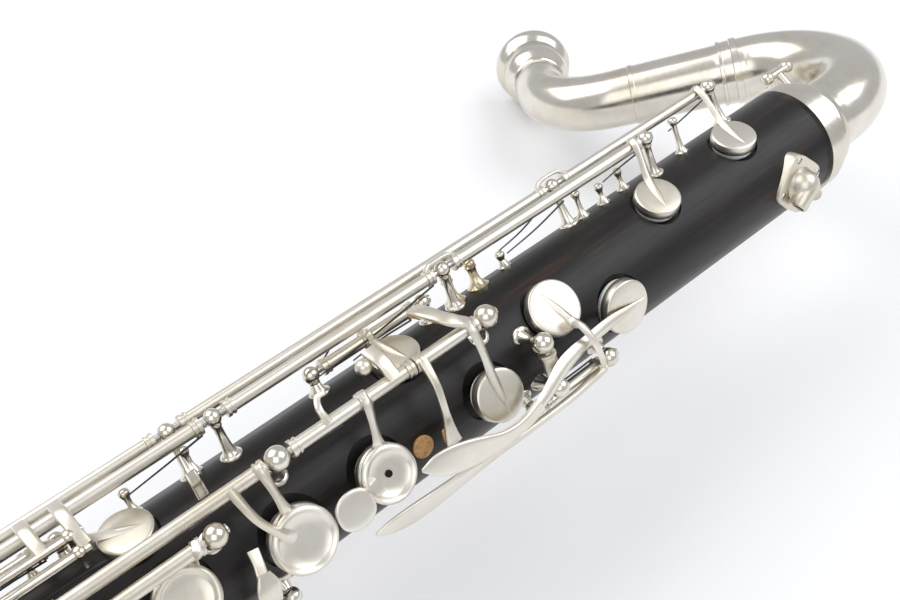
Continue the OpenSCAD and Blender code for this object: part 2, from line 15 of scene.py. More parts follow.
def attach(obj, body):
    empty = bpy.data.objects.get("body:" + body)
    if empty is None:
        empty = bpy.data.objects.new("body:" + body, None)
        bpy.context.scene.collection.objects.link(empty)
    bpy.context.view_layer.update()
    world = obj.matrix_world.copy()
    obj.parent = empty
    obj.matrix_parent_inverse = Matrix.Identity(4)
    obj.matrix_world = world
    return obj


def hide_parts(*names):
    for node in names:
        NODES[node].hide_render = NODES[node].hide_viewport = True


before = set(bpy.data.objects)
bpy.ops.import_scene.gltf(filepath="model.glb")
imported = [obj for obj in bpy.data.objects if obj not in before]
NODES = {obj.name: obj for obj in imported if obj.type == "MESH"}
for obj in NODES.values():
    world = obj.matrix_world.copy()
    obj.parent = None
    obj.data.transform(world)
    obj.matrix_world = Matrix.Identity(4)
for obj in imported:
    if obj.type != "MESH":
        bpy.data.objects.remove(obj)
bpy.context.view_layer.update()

# %% [markdown]
# The instrument was drawn with its bore along X and its finger side up, and then laid
# down. `LAID` repeats that turn, so new pieces can use the same easy coordinates: a
# distance x along the bore, an angle round it and a radius, all in millimetres.

# %% The instrument's own frame
ROLL, TILT = math.radians(58.83), math.radians(3.14)
TOP = Vector((357.2, 19.0, 66.92))
LAID = Matrix.Translation(TOP) @ Matrix.Rotation(-TILT, 4, "Y") @ Matrix.Rotation(ROLL, 4, "X")
LAID_NP = np.array(LAID)


def pt(x, angle, r):
    """Point at x along the bore, at an angle in degrees from the finger side, at radius r."""
    a = math.radians(angle)
    return np.array([x, -r * math.sin(a), r * math.cos(a)])


def to_world(points):
    """World places in metres: W = (R p + t) / 1000, for points p in the instrument's frame."""
    p = np.asarray(points, float).reshape(-1, 3)
    return (p @ LAID_NP[:3, :3].T + LAID_NP[:3, 3]) / 1000


print("top of the wood:", to_world([[0, 0, 0]]).round(4))

# %% [markdown]
# Materials come first. Every one is built from noise on Object coordinates, turned into
# the instrument's frame where the grain has a direction.

# %% Material helper
def material(name, **values):
    """A new Principled material with the given socket values; returns it with its parts."""
    m = bpy.data.materials.new(name)
    m.use_nodes = True
    tree = m.node_tree
    shader = tree.nodes["Principled BSDF"]
    for key, value in values.items():
        shader.inputs[key.replace("_", " ")].default_value = value
    where = tree.nodes.new("ShaderNodeTexCoord").outputs["Object"]
    return m, tree, shader, where


def noise(tree, where, scale, detail=4, stretch=None, roughness=0.55):
    """Noise with the given scale per metre; stretch runs it out along the bore."""
    if stretch is not None:
        turn = tree.nodes.new("ShaderNodeMapping")
        turn.inputs["Rotation"].default_value = LAID.inverted().to_euler()
        tree.links.new(where, turn.inputs["Vector"])
        squeeze = tree.nodes.new("ShaderNodeMapping")
        squeeze.inputs["Scale"].default_value = stretch
        tree.links.new(turn.outputs["Vector"], squeeze.inputs["Vector"])
        where = squeeze.outputs["Vector"]
    n = tree.nodes.new("ShaderNodeTexNoise")
    n.inputs["Scale"].default_value = scale
    n.inputs["Detail"].default_value = detail
    n.inputs["Roughness"].default_value = roughness
    tree.links.new(where, n.inputs["Vector"])
    return n.outputs["Fac"]


def ramp(tree, value, stops):
    """Colour ramp through (position, colour) stops."""
    r = tree.nodes.new("ShaderNodeValToRGB")
    band = r.color_ramp
    while len(band.elements) < len(stops):
        band.elements.new(0.5)
    for element, (at, colour) in zip(band.elements, stops):
        element.position = at
        element.color = (*colour, 1)
    tree.links.new(value, r.inputs["Fac"])
    return r.outputs["Color"]


def spread(tree, value, low, high, start=0.3, end=0.7):
    """Maps the noise between start and end to the range low to high."""
    r = tree.nodes.new("ShaderNodeMapRange")
    for key, v in (("From Min", start), ("From Max", end), ("To Min", low), ("To Max", high)):
        r.inputs[key].default_value = v
    tree.links.new(value, r.inputs["Value"])
    return r.outputs["Result"]


def bump(tree, shader, value, height, strength=1.0):
    """Bump of the given height in metres on the shader's normal."""
    b = tree.nodes.new("ShaderNodeBump")
    b.inputs["Strength"].default_value = strength
    b.inputs["Distance"].default_value = height
    tree.links.new(value, b.inputs["Height"])
    shader_in = shader.inputs["Normal"]
    if shader_in.is_linked:
        tree.links.new(shader_in.links[0].from_socket, b.inputs["Normal"])
    tree.links.new(b.outputs["Normal"], shader_in)


# %% [markdown]
# Grenadilla is nearly black. Its pores run along the bore, with a few brown streaks.

# %% Wood
wood, t, s, where = material("grenadilla", Specular_IOR_Level=0.38)
streaks = noise(t, where, 260, 8, (0.07, 1, 1), 0.68)
t.links.new(
    ramp(t, streaks, [(0.40, (0.0042, 0.0038, 0.0042)), (0.56, (0.0095, 0.0068, 0.0062)),
                      (0.68, (0.034, 0.016, 0.0105)), (0.8, (0.06, 0.026, 0.015))]),
    s.inputs["Base Color"])
pores = noise(t, where, 1600, 4, (0.04, 1, 1), 0.7)
t.links.new(spread(t, pores, 0.30, 0.46), s.inputs["Roughness"])
bump(t, s, pores, 0.00006, 0.5)
bump(t, s, noise(t, where, 160, 3, (0.08, 1, 1)), 0.00012, 0.3)

# %% [markdown]
# The metal is nickel, warm and polished. Slow noise turns it a little dull and yellow in
# places, and fine noise varies its roughness as wiping does. The keys are duller than the
# neck, since fingers touch them. The bump is faint, so that no surface looks grainy.

# %% Metals
def plate_metal(name, light, worn, dull, bright, wear_scale=35.0):
    """Polished metal: colour from light to worn, roughness from bright to dull."""
    m, t, s, where = material(name, Metallic=1.0)
    wear = noise(t, where, wear_scale, 5, None, 0.6)
    t.links.new(ramp(t, wear, [(0.42, light), (0.72, worn)]), s.inputs["Base Color"])
    fine = noise(t, where, 420, 4, None, 0.65)
    mix = t.nodes.new("ShaderNodeMath")
    mix.operation = "MULTIPLY"
    t.links.new(wear, mix.inputs[0])
    t.links.new(fine, mix.inputs[1])
    t.links.new(spread(t, mix.outputs[0], bright, dull, 0.15, 0.42), s.inputs["Roughness"])
    bump(t, s, noise(t, where, 60, 2), 0.00008, 0.07)
    return m


nickel = plate_metal("nickel", (0.76, 0.725, 0.655), (0.62, 0.56, 0.45), 0.27, 0.17)
key_nickel = plate_metal("key_nickel", (0.79, 0.755, 0.68), (0.66, 0.60, 0.48), 0.40, 0.31)
satin_nickel = plate_metal("satin_nickel", (0.70, 0.655, 0.555), (0.56, 0.50, 0.38), 0.50, 0.32)
rod_steel = plate_metal("rod_steel", (0.62, 0.62, 0.62), (0.5, 0.47, 0.42), 0.32, 0.16)
brass = plate_metal("bare_brass", (0.70, 0.63, 0.46), (0.56, 0.47, 0.29), 0.32, 0.16)
spring_steel = plate_metal("blued_spring", (0.09, 0.09, 0.10), (0.05, 0.05, 0.055), 0.4, 0.25)

# %% [markdown]
# Pads are felt under a thin bluish-white skin. Cork keeps the keys quiet.

# %% Pads and cork
skin, t, s, where = material("pad_skin", Subsurface_Weight=0.25, Subsurface_Scale=0.0012)
t.links.new(ramp(t, noise(t, where, 140, 4), [(0.35, (0.86, 0.88, 0.90)),
                                               (0.7, (0.66, 0.66, 0.62))]), s.inputs["Base Color"])
t.links.new(spread(t, noise(t, where, 500, 3), 0.42, 0.6), s.inputs["Roughness"])
bump(t, s, noise(t, where, 700, 4), 0.00008, 0.5)

cork, t, s, where = material("cork")
t.links.new(ramp(t, noise(t, where, 900, 5), [(0.3, (0.30, 0.14, 0.05)), (0.45, (0.47, 0.26, 0.10)),
                                               (0.72, (0.58, 0.36, 0.16))]), s.inputs["Base Color"])
t.links.new(spread(t, noise(t, where, 600, 3), 0.65, 0.9), s.inputs["Roughness"])
bump(t, s, noise(t, where, 1100, 4), 0.0002, 0.8)
print("materials:", len(bpy.data.materials))

# %% [markdown]
# Every CAD node gets a coat by its name. Most are covered by a finer piece later, but the
# body, the end rings, the bell and the steel rods stay as they are.

# %% Dress the CAD nodes
for name, node in NODES.items():
    if name == "wood_body":
        coat = wood
    elif name.endswith("_pad"):
        coat = skin
    elif name == "hinge_rods":
        coat = rod_steel
    elif name.endswith("_key") or name.startswith(("trill_key", "side_key")):
        coat = key_nickel
    else:
        coat = nickel
    node.data.materials.clear()
    node.data.materials.append(coat)

# %% [markdown]
# New pieces are grids of points: a closed section carried along a path, or a profile
# turned round an axis. `grid_mesh` turns rings of points into a closed mesh.

# %% Grid meshes
def grid_mesh(name, rings, coat, body="instrument", stands_for=(), smooth=40, loop=False):
    """Mesh from rings: ring i joins ring i + 1, and each end closes on its middle point.
    With loop the last ring joins the first."""
    rings = np.asarray(rings, float)
    count, around = rings.shape[:2]
    verts = [tuple(v) for v in to_world(rings)]
    faces = []
    for i in range(count if loop else count - 1):
        a, b = i * around, (i + 1) % count * around
        for j in range(around):
            k = (j + 1) % around
            faces.append((a + j, b + j, b + k, a + k))
    if not loop:
        for at in (0, count - 1):
            verts.append(tuple(np.mean(verts[at * around:(at + 1) * around], axis=0)))
            for j in range(around):
                faces.append((at * around + j, at * around + (j + 1) % around, len(verts) - 1))
    mesh = bpy.data.meshes.new(name)
    mesh.from_pydata(verts, [], faces)
    shape = bmesh.new()
    shape.from_mesh(mesh)
    bmesh.ops.remove_doubles(shape, verts=shape.verts, dist=1e-6)
    bmesh.ops.recalc_face_normals(shape, faces=shape.faces)
    shape.to_mesh(mesh)
    shape.free()
    mesh.polygons.foreach_set("use_smooth", [True] * len(mesh.polygons))
    mesh.set_sharp_from_angle(angle=math.radians(smooth))
    mesh.materials.append(coat)
    o = bpy.data.objects.new(name, mesh)
    bpy.context.scene.collection.objects.link(o)
    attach(o, body)
    if stands_for:
        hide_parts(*stands_for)
    return o


def join(name, parts, stands_for=()):
    """Joins parts that ride on one body into one named piece."""
    with bpy.context.temp_override(active_object=parts[0], selected_editable_objects=parts):
        bpy.ops.object.join()
    parts[0].name = parts[0].data.name = name
    if stands_for:
        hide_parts(*stands_for)
    return parts[0]


def unit(v):
    """v scaled to length 1."""
    v = np.asarray(v, float)
    return v / np.maximum(np.linalg.norm(v, axis=-1, keepdims=True), 1e-12)


def across(axis):
    """Two unit vectors at right angles to axis and to each other."""
    a = unit(axis)
    u = unit(np.cross(a, [0, 0, 1] if abs(a[2]) < 0.8 else [0, 1, 0]))
    return u, np.cross(a, u)


def lathe_rings(start, axis, profile, around=40):
    """Rings r (cos t u + sin t v) + start + h axis for the (r, h) of profile."""
    a = unit(axis)
    u, v = across(a)
    t = np.linspace(0, 2 * np.pi, around, endpoint=False)
    spin = np.cos(t)[:, None] * u + np.sin(t)[:, None] * v
    return np.array([np.asarray(start) + h * a + max(r, 1e-4) * spin for r, h in profile])


def smooth_path(points, steps=8):
    """Catmull-Rom curve through the points, with the given steps between two of them."""
    p = np.asarray(points, float)
    p = np.vstack([2 * p[0] - p[1], p, 2 * p[-1] - p[-2]])
    t = np.linspace(0, 1, steps, endpoint=False)[:, None]
    out = [0.5 * (2 * b + (c - a) * t + (2 * a - 5 * b + 4 * c - d) * t ** 2
                  + (3 * b - a - 3 * c + d) * t ** 3)
           for a, b, c, d in zip(p, p[1:], p[2:], p[3:])]
    return np.vstack(out + [p[-2:-1]])


ROUND = np.array([(math.cos(a), math.sin(a))
                  for a in np.linspace(0, 2 * np.pi, 16, endpoint=False)])
RIDGE = np.array([(1, -0.1), (0.62, 0.52), (0.12, 0.98), (-0.12, 0.98), (-0.62, 0.52),
                  (-1, -0.1), (-0.8, -0.45), (0.8, -0.45)])
BAND = np.array([(math.copysign(abs(math.cos(a)) ** 0.45, math.cos(a)),
                  math.copysign(abs(math.sin(a)) ** 0.7, math.sin(a)))
                 for a in np.linspace(0, 2 * np.pi, 24, endpoint=False)])


def swept_rings(points, widths, heights, lift, section=ROUND, steps=8):
    """Section carried along a curve: P + w s S + h q U, with U near lift and S across it.
    widths and heights are half sizes at the given points."""
    path = smooth_path(points, steps)
    at = np.linspace(0, 1, len(path))
    keys = np.linspace(0, 1, len(points))
    size = smooth_path([(w, h, 0) for w, h in zip(widths, heights)], steps)
    w, h = np.maximum(size[:, 0], 0.05), np.maximum(size[:, 1], 0.05)
    along = unit(np.gradient(path, axis=0))
    up = np.asarray(lift, float)
    if up.ndim == 2:
        up = np.stack([np.interp(at, keys, up[:, k]) for k in range(3)], axis=1)
    side = unit(np.cross(along, up))
    up = np.cross(side, along)
    return (path[:, None] + w[:, None, None] * section[None, :, :1] * side[:, None]
            + h[:, None, None] * section[None, :, 1:] * up[:, None])


def out_of(angle):
    """Unit vector out of the body at an angle from the finger side."""
    return pt(0, angle, 1)


# %% [markdown]
# The keys. Each has its pad place, hinge line and tube. A key that stands open is made
# closed and then swung off its seat by eight degrees.

# %% Key data
LINES = {"outer": (-94, 30.4), "inner": (-82, 29.5), "stack": (-39, 29), "mid": (-26, 28.7),
         "side": (-88, 23.4), "throat": (38, 23.5), "back": (150, 24.5), "thumb": (138, 25),
         "sliver": (48, 22.6), "low": (-40, 33)}
SEAT, LOW_SEAT, PAD = 15.8, 20.0, 3.2
OPEN_SWING = -8  # degrees from its seat to where a key that stands open rests
KEYS = {  # name: (line, tubes, pad place, radius, arm x, seat, kind, open)
    "trill_key_high": ("outer", [(-86, -24.6), (-216.4, -93.4), (-326, -223.4), (-368.6, -333.6)],
                       (-30.5, -55.8), 6.9, -26.5, SEAT, "cup", 0),
    "trill_key_low": ("inner", [(-133.6, -60.4), (-206.6, -140.4), (-306.4, -213.4)],
                      (-67.8, -48.4), 6.9, -62.5, SEAT, "cup", 0),
    "side_key_high": ("side", [(-178.8, -148.2)], (-162, -64.5), 6.9, -164, SEAT, "cup", 0),
    "side_key_low": ("side", [(-296.8, -257.4)], (-241, -66), 6.9, -259.2, SEAT, "cup", 0),
    "throat_a_key": ("throat", [(-133, -111.2)], (-118.3, -22.3), 7.9, -112.6, SEAT, "cup", 0),
    "upper_vent_key": ("stack", [(-164.4, -143.8)], (-146.4, 5), 7.3, -146.5, SEAT, "cup", 1),
    "first_plate_key": ("stack", [(-202, -164.8)], (-183.5, 2.5), 7.6, -180.4, SEAT, "plate", 1),
    "second_plate_key": ("stack", [(-264.2, -209.2)], (-209.4, 5.4), 8.5, -210.8, SEAT, "plate", 1),
    "third_plate_key": ("mid", [(-260.6, -230.4)], (-238.7, -7.6), 7.9, -232, SEAT, "plate", 1),
    "thumb_key": ("thumb", [(-188.8, -169.2)], (-176, 172), 7.9, -177, SEAT, "plate", 1),
    "register_key": ("back", [(-156.6, -69.4)], (-58, 180), 6.9, -71, SEAT, "cup", 0),
    "fourth_plate_key": ("stack", [(-420.4, -389.6)], (-398, 3), 7.9, -392.6, SEAT, "plate", 1),
    "fifth_plate_key": ("stack", [(-458.4, -427.6)], (-436, 3), 7.9, -430.6, SEAT, "plate", 1),
    "sixth_plate_key": ("stack", [(-493.4, -465.6)], (-474, 3), 7.9, -468.6, SEAT, "plate", 1),
    "low_g_key": ("low", [(-537.4, -508.6)], (-520, 4), 12, -523, LOW_SEAT, "cup", 0),
    "low_f_key": ("low", [(-584.4, -544.6)], (-563, 4), 12, -564.5, LOW_SEAT, "cup", 1),
    "low_e_key": ("low", [(-633.4, -591.6)], (-612, 4), 12, -612.5, LOW_SEAT, "cup", 1),
    "low_e_flat_key": ("low", [(-678.4, -640.6)], (-662, 4), 12, -659.5, LOW_SEAT, "cup", 1),
}
TUBE = {"outer": 1.6, "sliver": 1.9}
PAD_OF = {"trill_key_high": "trill_high_pad", "trill_key_low": "trill_low_pad",
          "side_key_high": "side_high_pad", "side_key_low": "side_low_pad"}


def swing(points, line, angle):
    """Points turned by an angle in degrees about a hinge line."""
    a = math.radians(angle)
    centre = pt(0, *LINES[line])
    turn = np.array([[1, 0, 0], [0, math.cos(a), -math.sin(a)], [0, math.sin(a), math.cos(a)]])
    return (np.asarray(points, float) - centre) @ turn.T + centre


def pose(rings, line, stands_open):
    """Rings of a key as it rests."""
    return swing(rings, line, OPEN_SWING) if stands_open else np.asarray(rings, float)


# %% [markdown]
# Cups are flat on top with a polished side. Finger plates have a beaded edge and a
# shallow dish. The pad shows below as a soft white lip.

# %% Cups and plates
def cup_profile(r, kind):
    """(radius, height above the seat) of a cup from the middle of its top, round to inside."""
    top = PAD + (3.6 if kind == "plate" else 2.3)
    if kind == "plate":
        upper = [(0, top - 1.25), (r * 0.4, top - 1.22), (r - 2.3, top - 0.95),
                 (r - 1.75, top - 0.55), (r - 1.35, top - 0.08), (r - 0.85, top + 0.12),
                 (r - 0.35, top - 0.1),
                 (r, top - 0.6), (r - 0.1, top - 1.1), (r - 0.5, top - 1.4), (r - 0.5, PAD + 1.5),
                 (r - 0.1, PAD + 1.2)]
    else:
        upper = [(0, top + 0.02), (r * 0.5, top), (r - 0.75, top - 0.06), (r - 0.35, top - 0.16),
                 (r - 0.08, top - 0.4)]
    return upper + [(r, PAD + 0.9), (r, PAD - 0.8), (r - 0.12, PAD - 0.95), (r - 0.6, PAD - 0.95),
                    (r - 0.7, PAD - 0.6), (r - 0.7, PAD), (0, PAD)]


def pad_profile(r, h=PAD):
    """(radius, height) of a felt pad with a rounded, slightly bulging edge."""
    e = r - 0.75
    return [(0, 0), (e * 0.5, 0.0), (e - 0.7, 0.03), (e - 0.2, 0.2), (e + 0.02, 0.7),
            (e + 0.03, 1.3), (e - 0.02, 2.1), (e, h - 0.05), (0, h - 0.02)]


# The A key's arm goes over the G-sharp key's lever.
OVER = {"throat_a_key": [(-115, 24, 28.2), (-116.6, 9, 29.2), (-117.6, -3, 28),
                         (-118.2, -10, 25.6)]}


def arm_rings(line, x, place, r, seat, kind, tube, over=()):
    """Ridged arm from the top of its tube to a point beyond the middle of the cup. It goes
    by the (x, angle, radius) places of over, if any."""
    angle, radius = LINES[line]
    out = out_of(place[1])
    centre = pt(place[0], place[1], seat)
    hinge = pt(x, angle, radius)
    flat = hinge - centre
    flat = flat - out * (flat @ out)
    way = unit(flat)
    top = PAD + (2.25 if kind == "cup" else 2.4)
    start = hinge + out * tube * 0.75
    ahead = hinge + out * (tube + 0.55) - way * tube * 0.55
    edge = centre + way * r * (0.9 if kind == "cup" else 1.12) + out * (top + 0.55)
    if kind == "plate":
        last = centre + way * (r - 0.8) + out * (top - 0.9)
        return swept_rings([start + way * tube, ahead, (ahead * 0.45 + edge * 0.55), edge, last],
                           [1.5, 1.35, 1.05, 1.5, 2.6], [0.8, 1.0, 0.85, 0.9, 0.7], out, RIDGE, 8)
    mid = [pt(*at) for at in over] or [(ahead + edge) / 2 + out * 0.25]
    last = [edge, centre + out * (top + 0.18), centre - way * r * 0.72 + out * (top + 0.02)]
    return swept_rings([start + way * tube, ahead] + mid + last,
                       [1.5, 1.35] + [1.15] * len(mid) + [1.4, 1.1, 0.12],
                       [0.8, 1.05] + [0.85] * len(mid) + [0.95, 0.6, 0.12], out, RIDGE, 8)


# %% [markdown]
# A key's tube has a collar at each end and a rib where an arm leaves it.

# %% Tubes
def tube_profile(x0, x1, r, ribs=()):
    """(radius, distance) of a key tube with collars at its ends and ribs along it."""
    n = x1 - x0
    out = [(1.0, 0), (r + 0.35, 0), (r + 0.5, 0.15), (r + 0.5, 1.0), (r + 0.2, 1.2),
           (r + 0.2, 1.6), (r + 0.45, 1.8), (r + 0.45, 2.3), (r, 2.5)]
    for x in sorted(ribs):
        d = x - x0
        if 4.6 < d < n - 4.6:
            out += [(r, d - 1.6), (r + 0.55, d - 1.35), (r + 0.65, d), (r + 0.55, d + 1.35),
                    (r, d + 1.6)]
    out += [(r, n - 2.5), (r + 0.45, n - 2.3), (r + 0.45, n - 1.8), (r + 0.2, n - 1.6),
            (r + 0.2, n - 1.2), (r + 0.5, n - 1.0), (r + 0.5, n - 0.15), (r + 0.35, n), (1.0, n)]
    return out


def tube_rings(x0, x1, line, r, ribs=()):
    """A key tube on its hinge line."""
    return lathe_rings(pt(x0, *LINES[line]), (1, 0, 0), tube_profile(x0, x1, r, ribs), 28)


# %% [markdown]
# Some keys carry more than a cup: finger touches, levers and small link arms. They are
# listed here as ready rings, each with the angle that keeps its edges sharp.

# %% Levers and touches
def lever(points, widths, heights, section=BAND, steps=8):
    """Band along places (x, angle, radius), with its flat side out of the body."""
    line = [pt(*p) for p in points]
    lift = np.array([out_of(p[1]) for p in points])
    return swept_rings(line, widths, heights, lift, section, steps)


def touch(x, angle, r, length, width, turn=0.0, thick=0.75):
    """Oval touch, half as high as its section says, lying out of the body."""
    t = np.linspace(-1, 1, 17)
    a = math.radians(turn)
    along = np.array([math.cos(a), 0, 0]) - math.sin(a) * out_of(angle + 90)
    middle = pt(x, angle, r)
    line = [middle + along * length / 2 * math.sin(math.pi / 2 * k) for k in t]
    width_at = [max(0.05, width / 2 * math.cos(math.pi / 2 * k) ** 0.75) for k in t]
    return swept_rings(line, width_at, [thick * min(1, 0.35 + 1.2 * math.cos(math.pi / 2 * k))
                                        for k in t], out_of(angle), BAND, 2)


def ball(place, r, around=24):
    """Ball as rings."""
    t = np.linspace(0, math.pi, 15)
    return lathe_rings(place, (1, 0, 0), [(r * math.sin(a), -r * math.cos(a)) for a in t], around)


EXTRA = {
    "trill_key_high": [(touch(-350, -98, 33.4, 30, 9), 40)],
    "trill_key_low": [
        (touch(-296, -77, 32.6, 26, 9), 40),
        (lever([(-250.6, -86, 31.4), (-250.5, -76, 31.2), (-250.3, -66, 29), (-250, -59, 27.4)],
               [1.7, 1.7, 1.6, 1.6], [0.8] * 4), 35),
        (lever([(-259, -88, 31.6), (-258.9, -80, 31.4), (-258.7, -72, 30.2), (-258.4, -66, 29)],
               [1.7, 1.7, 1.6, 1.6], [0.8] * 4), 35)],
    "side_key_low": [(touch(-291, -81, 25, 12, 8), 40)],
    "throat_a_key": [
        (lever([(-111.5, 38, 25.4), (-118, 35.5, 26.4), (-125, 33.8, 27.4), (-134, 31.4, 28.2),
                (-143, 29.4, 28.7), (-152, 28.4, 28.8), (-160, 28.4, 28.6), (-168, 29.2, 28.3),
                (-176, 30, 28), (-183, 29.4, 27.8), (-189, 27.8, 27.6), (-193.4, 26.4, 27.3)],
               [1.3, 1.2, 1.1, 1.05, 1.05, 1.15, 1.6, 2.5, 3.3, 3.3, 2.4, 0.5],
               [1.0, 0.95, 0.9, 0.85, 0.85, 0.85, 0.85, 0.8, 0.75, 0.7, 0.6, 0.3]), 50)],
    "upper_vent_key": [
        (lever([(-146.5, -40, 31), (-149.6, -42.7, 33), (-152, -48, 33.5), (-153.4, -56, 33),
                (-153.6, -64, 31.8)], [1.7, 1.9, 2.0, 2.2, 2.2], [1, 0.9, 0.85, 0.8, 0.6]), 35),
        (lever([(-162.6, -37, 31), (-163.2, -24, 28.5), (-163.8, -8, 24.2), (-163.6, 7, 20.6),
                (-163.4, 16, 19.8)],
               [1.4, 1.1, 1.1, 1.9, 2.4], [0.9, 0.8, 0.75, 0.7, 0.5]), 35)],
    "first_plate_key": [
        (touch(-195.4, 8.2, 22.4, 10.6, 10.4, 0, 0.8), 40),
        (lever([(-187, 4, 21.6), (-192, 6.5, 21.9)], [2.4, 2.2], [0.7, 0.7]), 40),
        (lever([(-171, -38, 30.8), (-171.6, -46, 33.4), (-172, -54, 34)],
               [1.9, 1.9, 2.2], [0.9, 0.8, 0.7]), 35),
        (ball(pt(-175.6, -49.5, 32.4), 2.2), 60),
        (lever([(-191, -38, 30.6), (-191.5, -43, 33), (-190, -48, 33.6), (-188, -47, 34.6)],
               [1.1, 0.9, 0.8, 0.5], [0.8, 0.7, 0.6, 0.4]), 40)],
    "second_plate_key": [
        (lever([(-219, -38, 30.6), (-217.5, -22, 27.2), (-214, -8, 23.2), (-211, 0, 21)],
               [1.35, 1.1, 1.2, 2.2], [0.9, 0.85, 0.9, 0.7], RIDGE), 28)],
    "register_key": [(touch(-150, 133, 27.6, 16, 9), 40)],
    "low_g_key": [(touch(-516, -60, 35.2, 18, 9), 40)],
    "low_f_key": [(touch(-560, -60, 35.2, 18, 9), 40)],
    "low_e_key": [(touch(-607, -60, 35.2, 18, 9), 40)],
    "low_e_flat_key": [(touch(-655, -60, 35.2, 18, 9), 40)],
}
for key, x in (("low_g_key", -516), ("low_f_key", -560), ("low_e_key", -607),
               ("low_e_flat_key", -655)):
    EXTRA[key].append((lever([(x, -40, 34.6), (x, -52, 35.2)], [1.7, 1.6], [1, 0.9]), 35))
for key, line, gaps in (("trill_key_high", "outer", (-90, -219.9, -330)),
                        ("trill_key_low", "inner", (-137, -210))):
    for x in gaps:
        a, r = LINES[line]
        way = out_of(a) if x > -200 else np.array([0, -0.4, -0.92])
        saddle = [pt(x + d, a, r) + way * h for d, h in (
            (-5.4, 1.2), (-4.2, 2.6), (-2.4, 3.3), (2.4, 3.3), (4.2, 2.6), (5.4, 1.2))]
        EXTRA[key].append((swept_rings(saddle, [0.9] * 6, [0.5] * 6, way, BAND), 40))

# %% [markdown]
# A real key is a tube, a cup and an arm brazed into one, so each is joined into one piece
# that rides on its own body. The felt pad stays a piece of its own.

# %% Build the keys
made = 0
for key, (line, tubes, place, r, arm_x, seat, kind, stands_open) in KEYS.items():
    tube = TUBE.get(line, 1.8)
    parts = [grid_mesh(key + "_tube%d" % i, pose(tube_rings(a, b, line, tube, [arm_x]), line,
                                                 stands_open), key_nickel, key)
             for i, (a, b) in enumerate(tubes)]
    centre, out = pt(place[0], place[1], seat), out_of(place[1])
    cup = grid_mesh(key + "_cup", pose(lathe_rings(centre, out, cup_profile(r, kind), 72), line,
                                       stands_open), key_nickel, key)
    rings = arm_rings(line, arm_x, place, r, seat, kind, tube, OVER.get(key, ()))
    arm = grid_mesh(key + "_arm", pose(rings, line, stands_open), key_nickel, key, smooth=28)
    parts += [cup, arm]
    for rings, smooth in EXTRA.get(key, []):
        parts.append(grid_mesh(key + "_extra%d" % len(parts), pose(rings, line, stands_open),
                               key_nickel, key, smooth=smooth))
    piece = join(key + "_metal", parts, [key])
    pad_node = PAD_OF.get(key, key.replace("_plate", "").replace("_key", "") + "_pad")
    pad = grid_mesh(pad_node + "_skin", pose(lathe_rings(centre, out, pad_profile(r), 56), line,
                                             stands_open), skin, key, [pad_node])
    made += 1
print("keys rebuilt:", made)

# %% [markdown]
# The throat G-sharp key and the small sliver key have no long tube. Their levers turn on
# short cross rods.

# %% Throat G-sharp and sliver keys
g_place, g_r = (-97, 12), 7.9
g_out = out_of(g_place[1])
g_centre = pt(*g_place, SEAT)
g_pivot_angle = 6
g_pivot = pt(-130, g_pivot_angle, 25.4)
g_axis = out_of(g_pivot_angle + 90)
g_parts = [
    grid_mesh("g_cup", lathe_rings(g_centre, g_out, cup_profile(g_r, "cup"), 72), key_nickel,
              "throat_g_key"),
    grid_mesh("g_spear", lever([(-90.6, 13, 21.3), (-94.5, 12.8, 21.7), (-99, 11.8, 22.3),
                                (-105, 9.8, 23.2), (-111, 8, 24.5), (-117, 6.8, 25.9),
                                (-123, 6.4, 27.2), (-128.5, 7.6, 28.3), (-133, 10.4, 29.2),
                                (-137.5, 13.6, 30), (-142, 15.9, 30.7)],
                               [0.12, 0.8, 1.4, 1.9, 2.0, 2.0, 2.4, 2.7, 2.5, 2.2, 2.1],
                               [0.12, 0.5, 0.8, 1.0, 1.1, 1.2, 1.3, 1.3, 1.2, 1.1, 1.0], RIDGE),
              key_nickel, "throat_g_key", smooth=30),
    grid_mesh("g_leaf", lever([(-140, 15, 30.4), (-145, 16.8, 31), (-150, 17.2, 31.4),
                               (-155, 16.2, 31.6), (-160, 13.8, 31.7), (-165, 10.9, 31.7),
                               (-170, 8.2, 31.6), (-174.5, 5.8, 31.4), (-178, 4.2, 31.1)],
                              [2.1, 2.0, 2.1, 2.6, 3.4, 3.9, 3.8, 2.7, 0.5],
                              [1.0, 1.0, 1.0, 0.95, 0.9, 0.85, 0.75, 0.6, 0.3]), key_nickel,
              "throat_g_key", smooth=50),
    grid_mesh("g_tube", lathe_rings(g_pivot - 4 * g_axis, g_axis,
                                    [(0.95, 0), (2.5, 0), (2.6, 0.6), (2.2, 1), (2.2, 7),
                                     (2.6, 7.4), (2.5, 8), (0.95, 8)], 28), key_nickel,
              "throat_g_key"),
]
piece = join("throat_g_key_metal", g_parts, ["throat_g_key"])
pad = grid_mesh("throat_g_pad_skin", lathe_rings(g_centre, g_out, pad_profile(g_r), 56), skin,
                "throat_g_key", ["throat_g_pad"])

s_parts = [
    grid_mesh("sliver_tube", tube_rings(-231, -219.4, "sliver", 1.7), key_nickel, "sliver_key"),
    grid_mesh("sliver_lever", lever([(-225, 48, 24), (-224.5, 38, 26), (-223.5, 26, 26.6),
                                     (-222.6, 14, 26.6), (-222, 4, 26)],
                                    [1.4, 1.2, 1.6, 3.2, 1.6], [0.9, 0.8, 0.8, 0.8, 0.6]),
              key_nickel, "sliver_key"),
    grid_mesh("sliver_tab", lever([(-222.5, 6, 25.8), (-221.6, -1, 24.6), (-221, -8, 23.4)],
                                  [1.5, 1.4, 1.5], [0.6, 0.55, 0.5]), key_nickel, "sliver_key"),
]
piece = join("sliver_key_metal", s_parts, ["sliver_key"])
